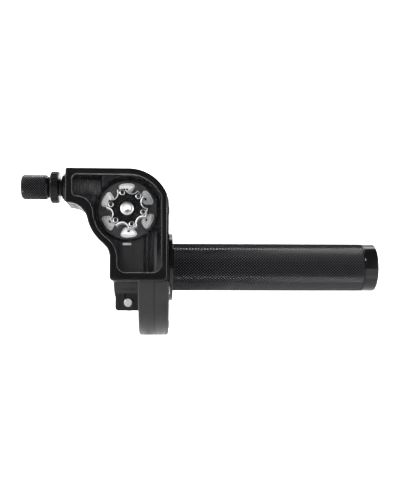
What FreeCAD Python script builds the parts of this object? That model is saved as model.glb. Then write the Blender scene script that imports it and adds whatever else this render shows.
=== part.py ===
"""Quick-turn motorcycle throttle grip with a cable guide wheel behind a clear window.

Units are millimetres.  The origin is the middle of the handlebar clamp, on the bar's
axis.  +X runs along the bar to the free end of the grip, -Y is the front, +Z is up.
"""
import FreeCAD
import Part
import math
import os

V = FreeCAD.Vector
X_AXIS = V(1, 0, 0)
Y_AXIS = V(0, 1, 0)

# ---- driving dimensions -------------------------------------------------------------
BAR_RADIUS = 11.1
CLAMP_BORE = BAR_RADIUS + 0.05
CLAMP_LEFT = -7.1
CLAMP_RIGHT = 7.0
LUG_LEFT = -6.35
CLAMP_RADIUS = 17.3
CLAMP_GAP = 0.6
LUG_FILLET = 4.0
LUG_CHAMFER = 1.2
LUG_HEIGHT = 25.8
LUG_DEPTH = 9.5
CLAMP_BOLT_X = 1.1
CLAMP_BOLT_Z = 21.1
CLAMP_BOLT_RADIUS = 2.5

CASE_RADIUS = 40.0
CASE_LEFT = 7.3
CASE_SEAM = 16.2
CASE_RIGHT = 24.3
CASE_ROUNDING = 1.6
SEAM_CHAMFER = 0.15
CAVITY_RADIUS = 27.4
CAVITY_LEFT = 10.2
CAVITY_RIGHT = 21.4
COVER_SCREW_CIRCLE = 34.5
COVER_SCREW_ANGLES = (112.0, 40.0, 328.0, 256.0, 205.0)
COVER_SCREW_RADIUS = 1.5
COVER_HEAD_RADIUS = 2.4

TUBE_BORE = 11.35
TUBE_RADIUS = 13.0
TUBE_LEFT = 8.2
BUSH_OUTER = 15.2
RUNNING_FIT = 0.05
FLANGE_LEFT = 24.45
FLANGE_RIGHT = 26.6
FLANGE_RADIUS = 19.8
SLEEVE_BORE = 12.3
GRIP_RADIUS = 14.0
GRIP_END = 139.0
TUBE_END = 146.8
RING_ROUNDING = 0.7
RING_SCREW_ANGLES = (300.0, 0.0, 60.0)

DRUM_PITCH = 24.0
DRUM_RIM = 26.2
DRUM_LEFT = 11.4
DRUM_RIGHT = 17.4
DRUM_FLANGE_RADIUS = 18.5
DRUM_FLANGE_RIGHT = 19.6
DRUM_SCREW_CIRCLE = 16.0
DRUM_SCREW_ANGLES = (60.0, 150.0, 240.0)
THROTTLE_TRAVEL = 75.0
STOP_CIRCLE = 19.5
STOP_PIN_RADIUS = 1.5
NIPPLE_ANGLE = 200.0
NIPPLE_CIRCLE = 21.0
NIPPLE_RADIUS = 2.9

WHEEL_X = 1.1
WHEEL_Z = 30.0
WHEEL_PITCH = 13.2
WHEEL_RIM = 16.4
WHEEL_BACK_RIM = 15.6
WHEEL_BACK = -20.8
WHEEL_FRONT = -27.4
CABLE_Y = -DRUM_PITCH
GROOVE_X = WHEEL_X + WHEEL_PITCH
RING_FRONT = -28.4
STAR_FRONT = -37.6
STAR_BORE = 4.8
LOBES = 6
STAR_ANGLE = 47.0
STAR_TIP = 11.25
STAR_TIP_HALF_ANGLE = 12.75
STAR_DIP = 8.3
STAR_SCREW_CIRCLE = 9.05
PETAL_ANGLE = 33.0
PETAL_OUTER = 15.2
PETAL_INNER = 9.4
PETAL_OUTER_HALF_ANGLE = 21.5
PETAL_INNER_HALF_ANGLE = 13.0
PETAL_HOLE_CIRCLE = 11.1

BEARING_BACK = -22.2
BEARING_FRONT = -27.2
BEARING_OUTER = 8.0
BEARING_PITCH = 5.2
BALL_RADIUS = 1.5
BALL_COUNT = 7
AXLE_RADIUS = 2.5
AXLE_HEAD_RADIUS = 3.9
AXLE_HEAD_BACK = -33.8
AXLE_HEAD_FRONT = -36.8

HOUSING_BACK = -15.6
FLOOR_Y = -20.0
LAND_Y = -33.5
HOUSING_FRONT = -38.0
GASKET_FRONT = -38.4
WINDOW_STEP = -39.2
WINDOW_FRONT = -41.5
FRAME_FRONT = -42.0
WHEEL_WELL_RADIUS = 18.4
KEY_Z = 10.6
FRAME_PINS = ((-6.0, -8.1), (20.8, -8.0), (-30.6, 49.8), (21.8, 30.0))
FRAME_PIN_RADIUS = 0.5

ADJUSTER_Z = WHEEL_Z + WHEEL_PITCH
BOSS_LEFT = -35.5
BOSS_RADIUS = 7.8
THREAD_RADIUS = 5.0
THREAD_PITCH = 1.25
THREAD_END = -14.0
KNOB_LEFT = -57.8
KNOB_RIGHT = -43.9
KNOB_RADIUS = 6.9
KNOB_NECK_X = -42.1
KNOB_NECK_RADIUS = 5.5
SEAT_RADIUS = 4.2
SEAT_RIGHT = -46.0
SEAT_BORE = 3.2
CABLE_HOLE = 1.5
NUT_LEFT = -41.8
NUT_RIGHT = -37.0
NUT_RADIUS = 8.9
NUT_CHAMFER = 0.7

# Outline of the front frame in the XZ plane.  "arc" is the radius of the bulge round the
# guide wheel; "under_start" is where the arm's underside runs into its concave fillet.
ARC_CENTRE = (2.1, 28.6)
FRAME_OUTLINE = dict(left=-32.0, top=51.2, right=23.0, bottom=-9.9, neck=-7.8, under=32.4,
                     arc=22.6, under_start=-30.8, neck_fillet=10.3, arm_corner=1.2, foot_corner=2.4)
HOUSING_OUTLINE = dict(FRAME_OUTLINE, right=23.9)
WINDOW_OUTLINE = dict(left=-28.8, top=48.2, right=20.2, bottom=-5.7, neck=-4.2, under=35.6,
                      arc=19.6, under_start=-26.0, neck_fillet=13.7, arm_corner=2.7, foot_corner=4.9)


# ---- shape helpers ------------------------------------------------------------------
def box(x, y, z):
    """Box from three (low, high) spans."""
    return Part.makeBox(x[1] - x[0], y[1] - y[0], z[1] - z[0], V(x[0], y[0], z[0]))


def rod_x(radius, start, end, y=0.0, z=0.0):
    """Cylinder along X."""
    return Part.makeCylinder(radius, end - start, V(start, y, z), X_AXIS)


def rod_y(radius, start, end, x=0.0, z=0.0):
    """Cylinder along Y, from the front (start) to the back (end)."""
    return Part.makeCylinder(radius, end - start, V(x, start, z), Y_AXIS)


def ring_x(outer, inner, start, end, y=0.0, z=0.0):
    return rod_x(outer, start, end, y, z).cut(rod_x(inner, start - 1, end + 1, y, z))


def ring_y(outer, inner, start, end, x=WHEEL_X, z=WHEEL_Z):
    return rod_y(outer, start, end, x, z).cut(rod_y(inner, start - 1, end + 1, x, z))


def turned_x(profile, y=0.0, z=0.0):
    """Solid turned about an axis along X, from (x, radius) points."""
    points = [V(x, y, z + radius) for x, radius in profile]
    wire = Part.makePolygon(points + points[:1])
    return Part.Face(wire).revolve(V(0, y, z), X_AXIS, 360)


def turned_y(profile, x=WHEEL_X, z=WHEEL_Z):
    """Solid turned about an axis along Y, from (y, radius) points."""
    points = [V(x + radius, y, z) for y, radius in profile]
    wire = Part.makePolygon(points + points[:1])
    return Part.Face(wire).revolve(V(x, 0, z), Y_AXIS, 360)


def cut_all(shape, tools):
    for tool in tools:
        shape = shape.cut(tool)
    return shape


def join(shapes):
    result = shapes[0]
    for shape in shapes[1:]:
        result = result.fuse(shape)
    return result.removeSplitter()


def polar(radius, angle):
    """Point on a circle, as two coordinates; the angle is in degrees."""
    return radius * math.cos(math.radians(angle)), radius * math.sin(math.radians(angle))


def on_case(radius, angle):
    """(y, z) of a point round the bar's axis."""
    return polar(radius, angle)


def on_wheel(radius, angle):
    """(x, z) of a point round the guide wheel's axis."""
    across, up = polar(radius, angle)
    return WHEEL_X + across, WHEEL_Z + up


def hex_socket(axis_point, direction, across_flats, depth):
    """Hexagonal recess that starts at axis_point and goes along direction."""
    corner = across_flats / math.sqrt(3)
    side = V(0, 0, 1)
    points = []
    for step in range(7):
        turn = FreeCAD.Rotation(direction, 60 * step)
        points.append(axis_point + turn.multVec(side * corner))
    return Part.Face(Part.makePolygon(points)).extrude(direction * depth)


def bounded_outline(spec, y):
    """Closed wire of the frame's outline at depth y."""
    centre_x, centre_z = ARC_CENTRE
    arc = spec["arc"]
    neck_fillet = spec["neck_fillet"]
    arm = spec["arm_corner"]
    foot = spec["foot_corner"]
    edges = []

    def at(x, z):
        return V(x, y, z)

    def line(start, end):
        if start.distanceToPoint(end) > 1e-6:
            edges.append(Part.LineSegment(start, end).toShape())

    def curve(x, z, radius, start, end):
        points = []
        for angle in (start, (start + end) / 2, end):
            across, up = polar(radius, angle)
            points.append(at(x + across, z + up))
        edges.append(Part.Arc(*points).toShape())

    right_angle = math.degrees(math.acos((spec["right"] - centre_x) / arc))
    right_z = centre_z + arc * math.sin(math.radians(right_angle))
    neck_x = spec["neck"] - neck_fillet
    neck_z = centre_z - math.sqrt((arc + neck_fillet) ** 2 - (centre_x - neck_x) ** 2)
    neck_angle = math.degrees(math.atan2(centre_z - neck_z, centre_x - neck_x))
    rise = spec["under"] - centre_z
    reach = centre_x - spec["under_start"]
    under_fillet = (reach ** 2 - arc ** 2 + rise ** 2) / (2 * (arc + rise))
    under_z = spec["under"] - under_fillet
    under_angle = math.degrees(math.atan2(centre_z - under_z, reach))

    line(at(spec["left"] + arm, spec["top"]), at(centre_x, centre_z + arc))
    curve(centre_x, centre_z, arc, 90, right_angle)
    line(at(spec["right"], right_z), at(spec["right"], spec["bottom"] + foot))
    curve(spec["right"] - foot, spec["bottom"] + foot, foot, 0, -90)
    line(at(spec["right"] - foot, spec["bottom"]), at(spec["neck"] + foot, spec["bottom"]))
    curve(spec["neck"] + foot, spec["bottom"] + foot, foot, -90, -180)
    line(at(spec["neck"], spec["bottom"] + foot), at(spec["neck"], neck_z))
    curve(neck_x, neck_z, neck_fillet, 0, neck_angle)
    curve(centre_x, centre_z, arc, neck_angle + 180, under_angle + 180)
    curve(spec["under_start"], under_z, under_fillet, under_angle, 90)
    line(at(spec["under_start"], spec["under"]), at(spec["left"] + arm, spec["under"]))
    curve(spec["left"] + arm, spec["under"] + arm, arm, 270, 180)
    line(at(spec["left"], spec["under"] + arm), at(spec["left"], spec["top"] - arm))
    curve(spec["left"] + arm, spec["top"] - arm, arm, 180, 90)
    return Part.Wire(edges)


def inset(spec, distance):
    """The same outline moved inwards by distance (outwards if negative)."""
    moved = dict(spec)
    for side in ("left", "bottom", "neck", "under", "neck_fillet"):
        moved[side] += distance
    for side in ("right", "top", "arc", "arm_corner", "foot_corner"):
        moved[side] -= distance
    return moved


def plate(spec, front, back):
    """The outline as a solid between two depths."""
    return Part.Face(bounded_outline(spec, front)).extrude(V(0, back - front, 0))


def soften(shape, size, is_edge):
    """Chamfer the edges that is_edge picks."""
    picked = [edge for edge in shape.Edges if is_edge(edge)]
    return shape.makeChamfer(size, picked)


def lies_at_y(depth):
    return lambda edge: all(abs(v.Point.y - depth) < 1e-6 for v in edge.Vertexes)


def lies_at_x(place, radius):
    """Picks round edges of one radius at one place along X."""
    def check(edge):
        round_edge = isinstance(edge.Curve, Part.Circle) and abs(edge.Curve.Radius - radius) < 1e-6
        return round_edge and abs(edge.Vertexes[0].Point.x - place) < 1e-6
    return check


# ---- housing ------------------------------------------------------------------------
def case_disc(left, right, rounded_at):
    """One half of the drum's casing, with a chamfer where it meets the other half."""
    disc = rod_x(CASE_RADIUS, left, right)
    edges = [edge for edge in disc.Edges if lies_at_x(rounded_at, CASE_RADIUS)(edge)]
    disc = disc.makeFillet(CASE_ROUNDING, edges)
    return soften(disc, SEAM_CHAMFER, lies_at_x(CASE_SEAM, CASE_RADIUS))


def lug(front, back, side):
    """One ear of a clamp half, below (side -1) or above (side 1) the bar."""
    def at(x, z):
        return V(x, front, side * z)

    points = [at(CLAMP_RIGHT, CLAMP_BORE), at(CLAMP_RIGHT, LUG_HEIGHT),
              at(LUG_LEFT + LUG_CHAMFER, LUG_HEIGHT), at(LUG_LEFT, LUG_HEIGHT - LUG_CHAMFER),
              at(LUG_LEFT, CLAMP_BORE)]
    return Part.Face(Part.makePolygon(points + points[:1])).extrude(V(0, back - front, 0))


def lug_fillet(side):
    """Blend between the clamp's round front and its ear's flat front."""
    reach = CLAMP_RADIUS + LUG_FILLET
    centre_y = -LUG_DEPTH - LUG_FILLET
    centre_z = side * math.sqrt(reach ** 2 - centre_y ** 2)
    share = CLAMP_RADIUS / reach
    root = side * (CLAMP_RADIUS - LUG_DEPTH) * 1.5
    points = [V(LUG_LEFT, centre_y * share, centre_z * share), V(LUG_LEFT, centre_y, centre_z),
              V(LUG_LEFT, -LUG_DEPTH, centre_z), V(LUG_LEFT, -LUG_DEPTH + 1, root)]
    wedge = Part.Face(Part.makePolygon(points + points[:1])).extrude(V(CLAMP_RIGHT - LUG_LEFT, 0, 0))
    return wedge.cut(rod_x(LUG_FILLET, LUG_LEFT - 1, CLAMP_RIGHT + 1, centre_y, centre_z))


def housing_body():
    clamp_ring = rod_x(CLAMP_RADIUS, CLAMP_LEFT, CASE_LEFT)
    front_half = box((CLAMP_LEFT, CASE_LEFT), (-CLAMP_RADIUS, -CLAMP_GAP), (-CLAMP_RADIUS, CLAMP_RADIUS))
    solids = [plate(HOUSING_OUTLINE, HOUSING_FRONT, HOUSING_BACK),
              case_disc(CASE_LEFT, CASE_SEAM, CASE_LEFT),
              clamp_ring.common(front_half)]
    for side in (-1, 1):
        solids.append(lug(-LUG_DEPTH, -CLAMP_GAP, side))
        solids.append(lug_fillet(side))
    solids.append(box((CLAMP_LEFT, CASE_LEFT + 1), (HOUSING_BACK - 4, -CLAMP_GAP), (9.0, LUG_HEIGHT)))
    solids.append(box((CLAMP_LEFT, CASE_LEFT + 1), (HOUSING_BACK - 4, -6.0), (-9.9, 9.9)))
    body = join(solids)

    tools = [plate(WINDOW_OUTLINE, HOUSING_FRONT - 1, LAND_Y),
             rod_y(WHEEL_WELL_RADIUS, LAND_Y - 1, FLOOR_Y, WHEEL_X, WHEEL_Z),
             box((-28.9, THREAD_END + 1), (LAND_Y - 1, -18.4), (ADJUSTER_Z - 6.4, ADJUSTER_Z + 5.3)),
             box((CAVITY_LEFT, 20.0), (LAND_Y - 1, FLOOR_Y), (-5.6, WHEEL_Z - 10)),
             box((CASE_LEFT - 1, CASE_RIGHT), (-CASE_RADIUS - 1, HOUSING_FRONT),
                 (FRAME_OUTLINE["bottom"], CASE_RADIUS)),
             rod_x(CAVITY_RADIUS, CAVITY_LEFT, CAVITY_RIGHT),
             rod_x(BUSH_OUTER, CASE_LEFT, CAVITY_LEFT + 1),
             rod_x(CLAMP_BORE, CLAMP_LEFT - 1, CLAMP_RIGHT),
             rod_x(12.0, CLAMP_RIGHT, CASE_LEFT + 1),
             rod_x(6.4, -33.0, -28.0, CABLE_Y, ADJUSTER_Z),
             rod_y(AXLE_RADIUS, FLOOR_Y - 1, HOUSING_BACK + 1, WHEEL_X, WHEEL_Z),
             well_key(),
             rod_x(STOP_PIN_RADIUS, CASE_LEFT + 0.1, CAVITY_LEFT + 1, STOP_CIRCLE, 0)]
    for z in (-CLAMP_BOLT_Z, CLAMP_BOLT_Z):
        tools.append(rod_y(CLAMP_BOLT_RADIUS, -LUG_DEPTH - 2, 0, CLAMP_BOLT_X, z))
    notch_depth = 1.6 - LUG_DEPTH
    tools.append(box((CLAMP_BOLT_X - 2.3, CLAMP_BOLT_X + 3.2), (-CLAMP_RADIUS, notch_depth), (-20.4, -15.9)))
    for angle in COVER_SCREW_ANGLES:
        y, z = on_case(COVER_SCREW_CIRCLE, angle)
        tools.append(rod_x(COVER_SCREW_RADIUS, CAVITY_LEFT, CASE_SEAM + 1, y, z))
    for x, z in FRAME_PINS:
        tools.append(rod_y(FRAME_PIN_RADIUS, HOUSING_FRONT - 1, HOUSING_FRONT + 4, x, z))
    return cut_all(body, tools)


def drum_cover():
    cover = case_disc(CASE_SEAM, CASE_RIGHT, CASE_RIGHT)
    relief = box((CASE_SEAM - 1, CASE_RIGHT + 1), (-CASE_RADIUS - 1, HOUSING_BACK + 0.1),
                 (-10.0, CASE_RADIUS + 1))
    tools = [relief,
             rod_x(CAVITY_RADIUS, CASE_SEAM - 1, CAVITY_RIGHT),
             rod_x(BUSH_OUTER, CAVITY_RIGHT - 1, CASE_RIGHT + 1)]
    for angle in COVER_SCREW_ANGLES:
        y, z = on_case(COVER_SCREW_CIRCLE, angle)
        tools.append(rod_x(COVER_SCREW_RADIUS + 0.2, CASE_SEAM - 1, CASE_RIGHT, y, z))
        tools.append(rod_x(COVER_HEAD_RADIUS + 0.2, CASE_RIGHT - 1.6, CASE_RIGHT + 1, y, z))
    return cut_all(cover, tools)


def cover_screws():
    screws = []
    for angle in COVER_SCREW_ANGLES:
        y, z = on_case(COVER_SCREW_CIRCLE, angle)
        head = CASE_RIGHT + 0.45
        shape = turned_x([(CAVITY_LEFT + 0.4, 0), (CAVITY_LEFT + 0.4, COVER_SCREW_RADIUS),
                          (CASE_RIGHT - 1.6, COVER_SCREW_RADIUS), (CASE_RIGHT - 1.6, COVER_HEAD_RADIUS),
                          (head - 0.4, COVER_HEAD_RADIUS), (head, COVER_HEAD_RADIUS - 0.5), (head, 0)], y, z)
        screws.append(shape.cut(hex_socket(V(head, y, z), V(-1, 0, 0), 2.0, 1.2)))
    return Part.makeCompound(screws)


def clamp_cap():
    ring = rod_x(CLAMP_RADIUS, CLAMP_LEFT, CLAMP_RIGHT)
    half = box((CLAMP_LEFT, CLAMP_RIGHT), (CLAMP_GAP, CLAMP_RADIUS), (-CLAMP_RADIUS, CLAMP_RADIUS))
    cap = join([ring.common(half), lug(CLAMP_GAP, LUG_DEPTH, -1), lug(CLAMP_GAP, LUG_DEPTH, 1)])
    tools = [rod_x(CLAMP_BORE, CLAMP_LEFT - 1, CLAMP_RIGHT + 1)]
    for z in (-CLAMP_BOLT_Z, CLAMP_BOLT_Z):
        tools.append(rod_y(CLAMP_BOLT_RADIUS + 0.25, 0, LUG_DEPTH + 1, CLAMP_BOLT_X, z))
        tools.append(rod_y(5.1, LUG_DEPTH, CLAMP_RADIUS + 1, CLAMP_BOLT_X, z))
    return cut_all(cap, tools)


def clamp_washers():
    washers = []
    for z in (-CLAMP_BOLT_Z, CLAMP_BOLT_Z):
        washers.append(ring_y(4.9, CLAMP_BOLT_RADIUS + 0.1, LUG_DEPTH, LUG_DEPTH + 1, CLAMP_BOLT_X, z))
    return Part.makeCompound(washers)


def clamp_bolts():
    seat = LUG_DEPTH + 1
    bolts = []
    for z in (-CLAMP_BOLT_Z, CLAMP_BOLT_Z):
        tip = -0.5 - LUG_DEPTH
        shape = turned_y([(tip, 0), (tip, 2.1), (tip + 0.4, CLAMP_BOLT_RADIUS), (seat, CLAMP_BOLT_RADIUS),
                          (seat, 4.25), (seat + 4.5, 4.25), (seat + 5, 3.75), (seat + 5, 0)],
                         CLAMP_BOLT_X, z)
        bolts.append(shape.cut(hex_socket(V(CLAMP_BOLT_X, seat + 5, z), V(0, -1, 0), 4.0, 2.6)))
    return Part.makeCompound(bolts)


def tube_bush(start, end):
    return ring_x(BUSH_OUTER, TUBE_RADIUS + RUNNING_FIT, start, end)


def stop_pin():
    return rod_x(STOP_PIN_RADIUS, CASE_LEFT + 0.1, 13.0, STOP_CIRCLE, 0)


def thrust_washer(start, end):
    return ring_x(16.8, TUBE_RADIUS + 0.3, start, end)


# ---- front frame and window ---------------------------------------------------------
def front_frame():
    frame = plate(FRAME_OUTLINE, FRAME_FRONT, GASKET_FRONT)
    frame = soften(frame, 0.5, lies_at_y(FRAME_FRONT))
    tools = [plate(WINDOW_OUTLINE, FRAME_FRONT - 1, GASKET_FRONT + 1),
             plate(inset(WINDOW_OUTLINE, -0.8), WINDOW_STEP - 0.1, GASKET_FRONT + 1)]
    for x, z in FRAME_PINS:
        tools.append(rod_y(FRAME_PIN_RADIUS, GASKET_FRONT - 2.4, GASKET_FRONT + 1, x, z))
    return cut_all(frame, tools)


def window():
    pane = plate(inset(WINDOW_OUTLINE, 0.1), WINDOW_FRONT, WINDOW_STEP)
    pane = soften(pane, 0.4, lies_at_y(WINDOW_FRONT))
    return join([pane, plate(inset(WINDOW_OUTLINE, -0.7), WINDOW_STEP, GASKET_FRONT)])


def window_gasket():
    gasket = plate(inset(FRAME_OUTLINE, 0.4), GASKET_FRONT, HOUSING_FRONT)
    tools = [plate(WINDOW_OUTLINE, GASKET_FRONT - 1, HOUSING_FRONT + 1)]
    for x, z in FRAME_PINS:
        tools.append(rod_y(FRAME_PIN_RADIUS, GASKET_FRONT - 1, HOUSING_FRONT + 1, x, z))
    return cut_all(gasket, tools)


def frame_pins():
    pins = [rod_y(FRAME_PIN_RADIUS, GASKET_FRONT - 2.3, HOUSING_FRONT + 3.9, x, z) for x, z in FRAME_PINS]
    return Part.makeCompound(pins)


def well_key():
    """Small steel key with round ends, set in the land just below the wheel's well."""
    front = LAND_Y - 0.5
    back = LAND_Y + 3.0
    half_length = 1.8
    half_height = 0.6
    left = WHEEL_X - half_length
    right = WHEEL_X + half_length
    key = [box((left, right), (front, back), (KEY_Z - half_height, KEY_Z + half_height))]
    for x in (left, right):
        key.append(rod_y(half_height, front, back, x, KEY_Z))
    return join(key)


# ---- guide wheel --------------------------------------------------------------------
def guide_wheel():
    groove_half = 1.9
    wheel = turned_y([(WHEEL_BACK, 6.8), (WHEEL_BACK, WHEEL_BACK_RIM),
                      (CABLE_Y + groove_half, WHEEL_BACK_RIM),
                      (CABLE_Y + 0.8, WHEEL_PITCH - 1.0), (CABLE_Y - 0.8, WHEEL_PITCH - 1.0),
                      (CABLE_Y - groove_half, WHEEL_RIM), (WHEEL_FRONT, WHEEL_RIM),
                      (WHEEL_FRONT, BEARING_OUTER), (BEARING_BACK, BEARING_OUTER), (BEARING_BACK, 6.8)])
    for lobe in range(LOBES):
        x, z = on_wheel(PETAL_HOLE_CIRCLE, PETAL_ANGLE + 60 * lobe)
        wheel = wheel.cut(rod_y(0.8, WHEEL_FRONT - 1, WHEEL_FRONT + 1.6, x, z))
        x, z = on_wheel(STAR_SCREW_CIRCLE, STAR_ANGLE + 60 * lobe)
        wheel = wheel.cut(rod_y(0.8, WHEEL_FRONT - 1, WHEEL_FRONT + 2.1, x, z))
    return wheel


def petal(angle):
    """One fan-shaped window of the wheel's face ring."""
    def at(radius, offset):
        x, z = on_wheel(radius, angle + offset)
        return V(x, RING_FRONT - 1, z)

    wide = PETAL_OUTER_HALF_ANGLE
    slim = PETAL_INNER_HALF_ANGLE
    edges = [Part.Arc(at(PETAL_OUTER, -wide), at(PETAL_OUTER, 0), at(PETAL_OUTER, wide)).toShape(),
             Part.LineSegment(at(PETAL_OUTER, wide), at(PETAL_INNER, slim)).toShape(),
             Part.LineSegment(at(PETAL_INNER, slim), at(PETAL_INNER, -slim)).toShape(),
             Part.LineSegment(at(PETAL_INNER, -slim), at(PETAL_OUTER, -wide)).toShape()]
    solid = Part.Face(Part.Wire(edges)).extrude(V(0, WHEEL_FRONT - RING_FRONT + 2, 0))
    upright = [edge for edge in solid.Edges
               if abs(edge.Vertexes[0].Point.y - edge.Vertexes[-1].Point.y) > 1]
    return solid.makeFillet(1.5, upright)


def wheel_face_ring():
    ring = ring_y(WHEEL_RIM, STAR_BORE, RING_FRONT, WHEEL_FRONT)
    for lobe in range(LOBES):
        ring = ring.cut(petal(PETAL_ANGLE + 60 * lobe))
        x, z = on_wheel(STAR_SCREW_CIRCLE, STAR_ANGLE + 60 * lobe)
        ring = ring.cut(rod_y(0.95, RING_FRONT - 1, WHEEL_FRONT + 1, x, z))
    return ring


def star_cap():
    def at(radius, angle):
        x, z = on_wheel(radius, angle)
        return V(x, STAR_FRONT, z)

    edges = []
    for lobe in range(LOBES):
        middle = STAR_ANGLE + 60 * lobe
        start = at(STAR_TIP, middle - STAR_TIP_HALF_ANGLE)
        end = at(STAR_TIP, middle + STAR_TIP_HALF_ANGLE)
        following = at(STAR_TIP, middle + 60 - STAR_TIP_HALF_ANGLE)
        edges.append(Part.LineSegment(start, end).toShape())
        edges.append(Part.Arc(end, at(STAR_DIP, middle + 30), following).toShape())
    star = Part.Face(Part.Wire(edges)).extrude(V(0, RING_FRONT - STAR_FRONT, 0))
    star = soften(star, 0.35, lies_at_y(STAR_FRONT))
    star = star.cut(rod_y(STAR_BORE, STAR_FRONT - 1, RING_FRONT + 1, WHEEL_X, WHEEL_Z))
    for lobe in range(LOBES):
        x, z = on_wheel(STAR_SCREW_CIRCLE, STAR_ANGLE + 60 * lobe)
        star = star.cut(rod_y(1.75, STAR_FRONT - 1, STAR_FRONT + 1.3, x, z))
        star = star.cut(rod_y(0.95, STAR_FRONT, RING_FRONT + 1, x, z))
    return star


def star_screws():
    screws = []
    for lobe in range(LOBES):
        x, z = on_wheel(STAR_SCREW_CIRCLE, STAR_ANGLE + 60 * lobe)
        head = STAR_FRONT + 0.15
        seat = STAR_FRONT + 1.3
        shape = turned_y([(head, 0), (head, 1.3), (head + 0.25, 1.55), (seat, 1.55), (seat, 0.8),
                          (WHEEL_FRONT + 2.0, 0.8), (WHEEL_FRONT + 2.0, 0)], x, z)
        screws.append(shape.cut(hex_socket(V(x, head, z), Y_AXIS, 1.5, 0.8)))
    return Part.makeCompound(screws)


def ball_track():
    return Part.makeTorus(BEARING_PITCH, BALL_RADIUS + 0.03, V(WHEEL_X, CABLE_Y - 0.7, WHEEL_Z), Y_AXIS)


def bearing_inner():
    return ring_y(4.0, AXLE_RADIUS, BEARING_FRONT, BEARING_BACK).cut(ball_track())


def bearing_outer():
    return ring_y(BEARING_OUTER, 6.4, BEARING_FRONT, BEARING_BACK).cut(ball_track())


def bearing_balls():
    balls = []
    for index in range(BALL_COUNT):
        x, z = on_wheel(BEARING_PITCH, index * 360.0 / BALL_COUNT)
        balls.append(Part.makeSphere(BALL_RADIUS, V(x, CABLE_Y - 0.7, z)))
    return Part.makeCompound(balls)


def bearing_cage():
    middle = CABLE_Y - 0.7
    cage = ring_y(5.7, 4.7, middle - 2.0, middle + 2.0)
    for index in range(BALL_COUNT):
        across, up = polar(1.0, index * 360.0 / BALL_COUNT)
        pocket = Part.makeCylinder(BALL_RADIUS + 0.05, 8, V(WHEEL_X, middle, WHEEL_Z), V(across, 0, up))
        cage = cage.cut(pocket)
    return cage


def wheel_axle():
    tail = HOUSING_BACK - 0.4
    shape = turned_y([(AXLE_HEAD_FRONT, 0), (AXLE_HEAD_FRONT, 3.3),
                      (AXLE_HEAD_FRONT + 0.6, AXLE_HEAD_RADIUS),
                      (AXLE_HEAD_BACK, AXLE_HEAD_RADIUS), (AXLE_HEAD_BACK, AXLE_RADIUS),
                      (tail, AXLE_RADIUS), (tail, 0)])
    return shape.cut(hex_socket(V(WHEEL_X, AXLE_HEAD_FRONT, WHEEL_Z), Y_AXIS, 3.0, 1.8))


def axle_sleeve(front, back):
    return ring_y(4.0, AXLE_RADIUS, front, back)


# ---- cable drum, tube and grip ------------------------------------------------------
def stop_slot():
    """Curved slot in the drum's left face that the stop pin runs in."""
    half = STOP_PIN_RADIUS + 0.15
    start = -THROTTLE_TRAVEL - 0.5
    sweep = THROTTLE_TRAVEL + 1.0
    near = STOP_CIRCLE - half
    far = STOP_CIRCLE + half
    outline = Part.makePolygon([V(DRUM_LEFT - 1, near, 0), V(DRUM_LEFT - 1, far, 0),
                                V(DRUM_LEFT + 2, far, 0), V(DRUM_LEFT + 2, near, 0),
                                V(DRUM_LEFT - 1, near, 0)])
    track = Part.Face(outline)
    track.rotate(V(0, 0, 0), X_AXIS, start)
    pieces = [track.revolve(V(0, 0, 0), X_AXIS, sweep)]
    for angle in (start, start + sweep):
        pieces.append(rod_x(half, DRUM_LEFT - 1, DRUM_LEFT + 2, *on_case(STOP_CIRCLE, angle)))
    return pieces


def cable_drum():
    bottom = DRUM_PITCH - 1.0
    drum = turned_x([(DRUM_LEFT, TUBE_RADIUS), (DRUM_LEFT, DRUM_RIM), (GROOVE_X - 1.9, DRUM_RIM),
                     (GROOVE_X - 0.8, bottom), (GROOVE_X + 0.8, bottom), (GROOVE_X + 1.9, DRUM_RIM),
                     (DRUM_RIGHT, DRUM_RIM), (DRUM_RIGHT, TUBE_RADIUS)])
    drum = cut_all(drum, stop_slot())
    y, z = on_case(NIPPLE_CIRCLE, NIPPLE_ANGLE)
    drum = drum.cut(rod_x(NIPPLE_RADIUS, DRUM_LEFT + 1, DRUM_RIGHT + 1, y, z))
    slit = box((GROOVE_X - 1.0, GROOVE_X + 1.0), (-DRUM_RIM - 1, -NIPPLE_CIRCLE), (-1.0, 1.0))
    slit.rotate(V(0, 0, 0), X_AXIS, NIPPLE_ANGLE - 180.0)
    drum = drum.cut(slit)
    for angle in DRUM_SCREW_ANGLES:
        y, z = on_case(DRUM_SCREW_CIRCLE, angle)
        drum = drum.cut(rod_x(2.5, DRUM_LEFT - 1, DRUM_LEFT + 2.4, y, z))
        drum = drum.cut(rod_x(1.3, DRUM_LEFT, DRUM_RIGHT + 1, y, z))
    return drum


def drum_screws():
    screws = []
    for angle in DRUM_SCREW_ANGLES:
        y, z = on_case(DRUM_SCREW_CIRCLE, angle)
        head = DRUM_LEFT + 0.2
        seat = DRUM_LEFT + 2.4
        tip = DRUM_FLANGE_RIGHT - 0.2
        shape = turned_x([(head, 0), (head, 2.3), (seat, 2.3), (seat, 1.25), (tip, 1.25), (tip, 0)], y, z)
        screws.append(shape.cut(hex_socket(V(head, y, z), X_AXIS, 2.0, 1.2)))
    return Part.makeCompound(screws)


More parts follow.
